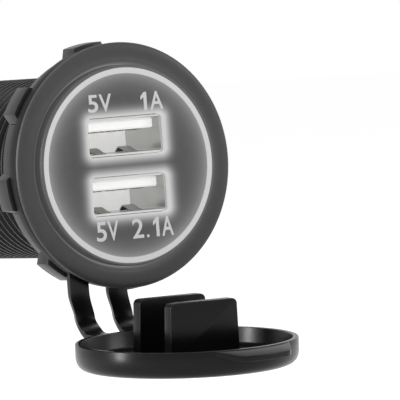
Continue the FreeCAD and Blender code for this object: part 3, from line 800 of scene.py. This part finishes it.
def strap_left_edge(side, y, z):
    """The pair hangs straight at the ring and eases over towards the middle of the cap."""
    share = min(1.0, max(0.0, (STRAP_TOP[1] - z) / STRAP_EASE))
    middle = STRAP_AT_RING + (STRAP_AT_CAP - STRAP_AT_RING) * eased(share)
    return (middle + side * STRAP_HALF_PITCH - STRAP_WIDTH / 2, y, z)


def strap(name, side):
    """Flat strap from the ring, back in a bow, then forward to the cap's rim."""
    piece = outline(name, [strap_left_edge(side, y, z) for y, z in strap_path(side)])
    extruded(piece, (STRAP_WIDTH, 0, 0))
    finish_with(piece, "SOLIDIFY", thickness=STRAP_THICKNESS * mm, offset=0,
                use_even_offset=True)
    face_outwards(piece)
    inside_rim = hang(turned("inside_rim", [(0, -3), (STRAP_TRIM, -3), (STRAP_TRIM, 3), (0, 3)],
                             axis="Z"))
    combine(piece, "DIFFERENCE", inside_rim)
    face_outwards(piece, merge=0.002)
    soften(piece, 0.1, steps=2, angle=50)
    return smooth(piece, 40)


straps = [paint(strap("strap_left", -1), strap_rubber),
          paint(strap("strap_right", 1), strap_rubber)]


# Pieces kept from the model

kept = {"light_guide": ring_light, "face_plate": face_black_painted_glow, "usb_board": board_green,
        "main_board": board_green, "status_leds": lamp_white, "board_header": chip_grey,
        "power_choke": ferrite_grey, "capacitor_input": can_metal, "capacitor_output": can_metal,
        "regulator_chip": chip_grey, "chip_capacitors": ceramic_tan, "rear_cover": satin_black_painted_glow,
        "terminal_positive": blade_metal, "terminal_negative": blade_metal,
        "usb_shell_upper": shell_metal_painted_glow, "usb_shell_lower": shell_metal_painted_glow,
        "usb_tongue_upper": tongue_white_painted_glow, "usb_tongue_lower": tongue_white_painted_glow,
        "usb_contacts_upper": contact_gold, "usb_contacts_lower": contact_gold}
for name, material in kept.items():
    paint(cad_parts[name], material)


# Bodies

for piece, body, slot in [(housing, "socket", "black_plastic"), (thread, "socket", "black_plastic"),
                          (rubber_ring, "socket", "black_rubber"),
                          (boss_rim, "socket", "black_plastic"), (nut, "ring_nut", "black_plastic"),
                          (cap, "dust_cap", "black_rubber")]:
    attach(piece, body)
for piece in legends:
    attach(piece, "socket")
for piece, slot in zip(springs, ("gold_contact", "gold_contact", "nickel_shell", "nickel_shell")):
    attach(piece, "socket")
for piece in straps:
    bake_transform(piece)
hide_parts("housing")
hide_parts("housing")
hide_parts("cap_ring")
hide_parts("face_frame")
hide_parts("ring_nut")
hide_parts("cap")
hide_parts("cap_strap_left")
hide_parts("cap_strap_right")


# Floor, light and camera

def pale_floor():
    """Matt floor that looks white to the camera, with room to the back."""
    clear_selection()
    bpy.ops.mesh.primitive_plane_add(size=FLOOR_SIZE, location=(0, FLOOR_BACK, FLOOR_LEVEL * mm))
    floor = settle(bpy.context.object)
    floor.name = "floor"
    material = bpy.data.materials.new("Pale Floor")
    material.use_nodes = True
    tree = material.node_tree
    shader = tree.nodes["Principled BSDF"]
    shader.inputs["Base Color"].default_value = (FLOOR_TONE, FLOOR_TONE, FLOOR_TONE, 1)
    shader.inputs["Roughness"].default_value = 0.9
    shader.inputs["Specular IOR Level"].default_value = 0.0
    give_off(tree, shader, sums(tree, "MULTIPLY", seen_directly(tree), FLOOR_LIFT))
    paint(floor, material)


pale_floor()


def soft_light(name, place, wide, tall, power):
    """Rectangular lamp aimed at the socket. Metres and watts."""
    clear_selection()
    bpy.ops.object.light_add(type="AREA", location=place)
    lamp = bpy.context.object
    lamp.name = name
    lamp.data.shape = "RECTANGLE"
    lamp.data.size = wide
    lamp.data.size_y = tall
    lamp.data.energy = power
    lamp.rotation_euler = (Vector((0, 0, 0)) - Vector(place)).to_track_quat("-Z", "Y").to_euler()


soft_light("light_left", (-0.97, 0.22, 0.05), 0.1, 0.8, 14.0)
soft_light("light_above", (-0.1, -0.35, 0.95), 0.5, 0.5, 4.0)
soft_light("light_right", (0.8, -0.6, 0.3), 0.35, 0.35, 2.5)

world = bpy.data.worlds.new("Studio")
bpy.context.scene.world = world
world.use_nodes = True
sky = world.node_tree
background = sky.nodes["Background"]
sky.links.new(sums(sky, "MULTIPLY_ADD", seen_directly(sky), SKY_LIFT, SKY_LIGHT),
              background.inputs["Strength"])
background.inputs["Color"].default_value = (1, 1, 1, 1)

clear_selection()
bpy.ops.object.camera_add()
camera = bpy.context.object
camera.name = "photo_camera"
camera.data.sensor_width = 36
camera.data.lens = CAMERA_LENS
camera.data.clip_start = 0.05
camera.data.clip_end = 30
camera.matrix_world = (Matrix.Translation(Vector(CAMERA_PLACE) * mm)
                       @ Matrix.Rotation(math.radians(CAMERA_TURN), 4, "Z")
                       @ Matrix.Rotation(math.radians(90 - CAMERA_FALL), 4, "X")
                       @ Matrix.Rotation(math.radians(CAMERA_ROLL), 4, "Z"))
bpy.context.scene.camera = camera
bpy.context.scene.view_settings.view_transform = "Standard"
